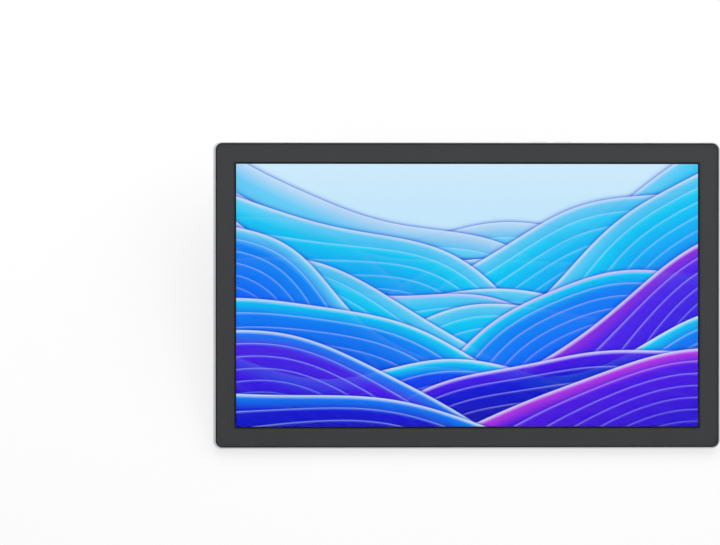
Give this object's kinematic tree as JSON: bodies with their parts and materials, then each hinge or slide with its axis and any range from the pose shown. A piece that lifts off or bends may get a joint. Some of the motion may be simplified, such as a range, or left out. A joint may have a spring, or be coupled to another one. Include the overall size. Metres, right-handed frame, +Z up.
{
  "type": "graphics tablet with screen",
  "caption": "Flat pen display with a bonded glass screen in a metal frame, standing tilted on fold-out rear legs, with ports and buttons on its top edge.",
  "frame": {"origin": "on the desk, under the middle of the tablet standing on its feet and open legs", "axes": "+X along the screen's width to its right, +Y from the front feet to the rear legs, +Z up; the screen faces up and towards -Y, 20 degrees off the desk"},
  "size_m": [0.4476, 0.2678, 0.1011],
  "materials": {
    "cover_glass": "etched anti-glare glass",
    "black_ink": "printed black",
    "black_tape": "foam tape",
    "clear_film": "clear",
    "lcd_glass": "lit screen",
    "diffuser": "white",
    "clear_acrylic": "polished",
    "led_strip": "white board with lamps",
    "sheet_metal": "plain sheet",
    "circuit_board": "solder mask",
    "frame_metal": "bead blasted, bright chamfer",
    "cover_metal": "bead blasted, dark anodised",
    "screw_steel": "blackened",
    "rubber": "matte",
    "dark_plastic": "fine grain",
    "leg_metal": "bead blasted, dark anodised",
    "spring_brass": "plain",
    "chip_plastic": "moulded",
    "thermal_rubber": "soft",
    "port_metal": "plain",
    "button_metal": "satin",
    "lamp_plastic": "clear",
    "flex_film": "polyimide"
  },
  "bodies": {
    "tablet": {"cover_glass": "cover_glass", "border_mask": "black_ink", "glass_tape": "black_tape", "bonding_film": "clear_film", "touch_film": "clear_film", "lcd_cell": "lcd_glass", "optical_films": "diffuser", "light_guide": "clear_acrylic", "reflector": "diffuser", "led_bar": "led_strip", "backlight_tray": "sheet_metal", "pen_sensor_board": "circuit_board", "shield_foil": "sheet_metal", "middle_frame": "frame_metal", "back_cover": "cover_metal", "cover_screws": "screw_steel", "front_feet": "rubber", "rear_pads": "rubber", "leg_tray_left": "dark_plastic", "leg_tray_right": "dark_plastic", "tray_screws": "screw_steel", "hinge_pin_left": "screw_steel", "hinge_pin_right": "screw_steel", "hinge_washers": "spring_brass", "main_board": "circuit_board", "main_board_chips": "chip_plastic", "shield_can": "sheet_metal", "thermal_pad": "thermal_rubber", "display_driver_board": "circuit_board", "button_board": "circuit_board", "button_switches": "chip_plastic", "board_screws": "screw_steel", "port_left": "port_metal", "port_right": "port_metal", "status_lamp": "lamp_plastic", "lcd_flexes": "flex_film", "backlight_flex": "flex_film", "sensor_tail": "flex_film", "touch_tail": "flex_film", "board_ribbon": "flex_film"},
    "left_leg": {"leg_left": "leg_metal", "leg_tip_left": "rubber"},
    "right_leg": {"leg_right": "leg_metal", "leg_tip_right": "rubber"},
    "touch_key": {"touch_button": "button_metal"},
    "power_key": {"power_button": "button_metal"}
  },
  "joints": [
    {"name": "left_leg_fold", "type": "hinge", "parent": "tablet", "child": "left_leg", "pos_m": [-0.13998, 0.08526, 0.08041], "axis": [1, 0, 0], "range_deg": [-100, 0]},
    {"name": "right_leg_fold", "type": "hinge", "parent": "tablet", "child": "right_leg", "pos_m": [0.13998, 0.08526, 0.08041], "axis": [1, 0, 0], "range_deg": [-100, 0]},
    {"name": "touch_button_press", "type": "slide", "parent": "tablet", "child": "touch_key", "axis": [0, -0.9397, -0.342], "range_m": [0, 0.0004], "stiffness_N_per_m": 1500, "springref_m": -0.0004},
    {"name": "power_button_press", "type": "slide", "parent": "tablet", "child": "power_key", "axis": [0, -0.9397, -0.342], "range_m": [0, 0.0004], "stiffness_N_per_m": 1500, "springref_m": -0.0004}
  ]
}
